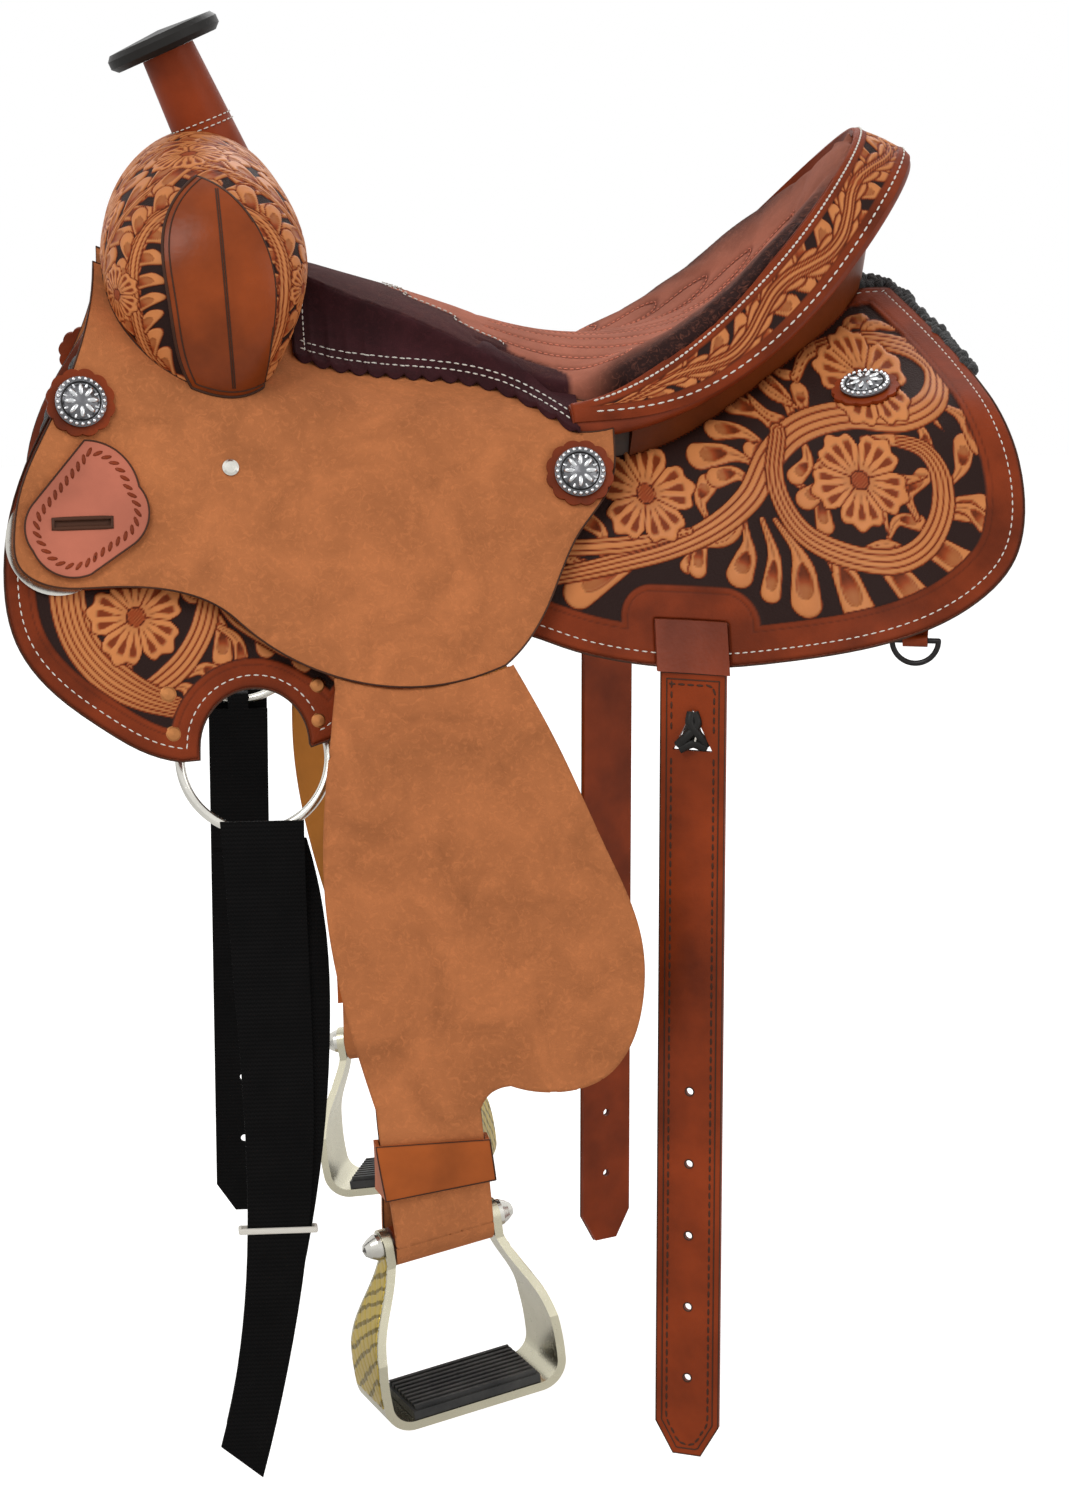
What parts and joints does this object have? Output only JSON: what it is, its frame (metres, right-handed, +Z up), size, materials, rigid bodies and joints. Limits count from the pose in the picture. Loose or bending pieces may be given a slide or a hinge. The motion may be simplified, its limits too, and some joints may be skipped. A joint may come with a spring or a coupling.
{
  "type": "western saddle",
  "caption": "Western saddle with horn, padded suede seat, tooled skirts, roughout jockeys and fenders, metal stirrups, rigging rings, latigo and flank billets; fenders and stirrups swing.",
  "frame": {"origin": "on the spine line of the horse-back form that the saddle rests on, below the lowest point of the seat", "axes": "+Z up, +X to the rear (cantle), -Y is the near (left) side"},
  "size_m": [0.6683, 0.5944, 0.9783],
  "materials": {
    "tooled_leather": "tooled, oiled",
    "roughout_leather": "rough flesh side out",
    "smooth_leather": "smooth, oiled",
    "black_leather": "black binding",
    "suede": "suede, quilted",
    "dark_suede": "suede",
    "fleece": "black pile",
    "tree_wood": "sealed",
    "steel": "stainless",
    "dark_steel": "black",
    "silver": "polished",
    "brass": "copper toned",
    "aluminium": "polished cast",
    "rubber": "ribbed",
    "webbing": "nylon webbing",
    "tie_cord": "white tie"
  },
  "bodies": {
    "saddle": {"billet_loops": "smooth_leather", "cantle_back": "smooth_leather", "cantle_board": "tree_wood", "cantle_roll": "tooled_leather", "conchos": "silver", "dee_tabs": "smooth_leather", "fleece_left": "fleece", "fleece_right": "fleece", "fork": "tree_wood", "front_dees": "steel", "ground_seat": "smooth_leather", "horn_cap": "black_leather", "horn_core": "steel", "horn_neck_cover": "smooth_leather", "jockey_left": "roughout_leather", "jockey_right": "roughout_leather", "latigo_keeper_left": "smooth_leather", "latigo_keeper_right": "smooth_leather", "leather_loop_left": "smooth_leather", "leather_loop_right": "smooth_leather", "rigging_ring_left": "steel", "rigging_ring_right": "steel", "rigging_rivets": "brass", "rosettes": "smooth_leather", "seat_pad": "suede", "seat_side_left": "dark_suede", "seat_side_right": "dark_suede", "skirt_left": "tooled_leather", "skirt_right": "tooled_leather", "swell_cover": "tooled_leather", "swell_gusset_left": "smooth_leather", "swell_gusset_right": "smooth_leather", "tree_bar_left": "tree_wood", "tree_bar_right": "tree_wood", "tree_screws": "steel"},
    "fender_hanger_left": {"fender_top_left": "roughout_leather"},
    "fender_left": {"fender_left": "roughout_leather", "stirrup_leather_left": "roughout_leather", "hobble_strap_left": "roughout_leather"},
    "stirrup_left": {"stirrup_left": "aluminium", "stirrup_tread_left": "rubber", "stirrup_bolt_left": "steel", "stirrup_roller_left": "smooth_leather"},
    "flank_billet_left": {"flank_billet_left": "smooth_leather"},
    "rear_dee_left": {"rear_dee_left": "dark_steel"},
    "fender_hanger_right": {"fender_top_right": "roughout_leather"},
    "fender_right": {"fender_right": "roughout_leather", "stirrup_leather_right": "roughout_leather", "hobble_strap_right": "roughout_leather"},
    "stirrup_right": {"stirrup_right": "aluminium", "stirrup_tread_right": "rubber", "stirrup_bolt_right": "steel", "stirrup_roller_right": "smooth_leather"},
    "flank_billet_right": {"flank_billet_right": "smooth_leather"},
    "rear_dee_right": {"rear_dee_right": "dark_steel"},
    "latigo": {"latigo_left": "webbing", "latigo_tie": "tie_cord"},
    "off_billet": {"off_billet_right": "webbing"}
  },
  "joints": [
    {"name": "fender_swing_left", "type": "hinge", "parent": "saddle", "child": "fender_hanger_left", "pos_m": [-0.105, -0.256, 0.008], "axis": [0, 1, 0], "range_deg": [-6, 2.5]},
    {"name": "fender_lift_left", "type": "hinge", "parent": "fender_hanger_left", "child": "fender_left", "pos_m": [-0.098, -0.2596, -0.2], "axis": [-1, 0, 0], "range_deg": [0, 70]},
    {"name": "stirrup_swing_left", "type": "hinge", "parent": "fender_left", "child": "stirrup_left", "pos_m": [-0.091, -0.2444, -0.528], "axis": [0.9494, 0.2722, 0.1564], "range_deg": [-75, 75]},
    {"name": "flank_billet_swing_left", "type": "hinge", "parent": "saddle", "child": "flank_billet_left", "pos_m": [0.08283, -0.22953, -0.1533], "axis": [0.8897, -0.4565, 0], "range_deg": [0, 22]},
    {"name": "rear_dee_swing_left", "type": "hinge", "parent": "saddle", "child": "rear_dee_left", "pos_m": [0.218, -0.2897, -0.124], "axis": [-0.962, 0.2729, 0], "range_deg": [-20, 65]},
    {"name": "fender_swing_right", "type": "hinge", "parent": "saddle", "child": "fender_hanger_right", "pos_m": [-0.105, 0.256, 0.008], "axis": [0, 1, 0], "range_deg": [-6, 2.5]},
    {"name": "fender_lift_right", "type": "hinge", "parent": "fender_hanger_right", "child": "fender_right", "pos_m": [-0.098, 0.2596, -0.2], "axis": [1, 0, 0], "range_deg": [0, 70]},
    {"name": "stirrup_swing_right", "type": "hinge", "parent": "fender_right", "child": "stirrup_right", "pos_m": [-0.091, 0.2444, -0.528], "axis": [0.9494, -0.2722, 0.1564], "range_deg": [-75, 75]},
    {"name": "flank_billet_swing_right", "type": "hinge", "parent": "saddle", "child": "flank_billet_right", "pos_m": [0.08283, 0.22953, -0.1533], "axis": [-0.8897, -0.4565, 0], "range_deg": [0, 22]},
    {"name": "rear_dee_swing_right", "type": "hinge", "parent": "saddle", "child": "rear_dee_right", "pos_m": [0.218, 0.2897, -0.124], "axis": [0.962, 0.2729, 0], "range_deg": [-20, 65]},
    {"name": "latigo_swing", "type": "hinge", "parent": "saddle", "child": "latigo", "pos_m": [-0.209, -0.24414, -0.25124], "axis": [1, 0, 0], "range_deg": [0, 30]},
    {"name": "off_billet_swing", "type": "hinge", "parent": "saddle", "child": "off_billet", "pos_m": [-0.209, 0.24414, -0.25124], "axis": [-1, 0, 0], "range_deg": [0, 30]}
  ]
}
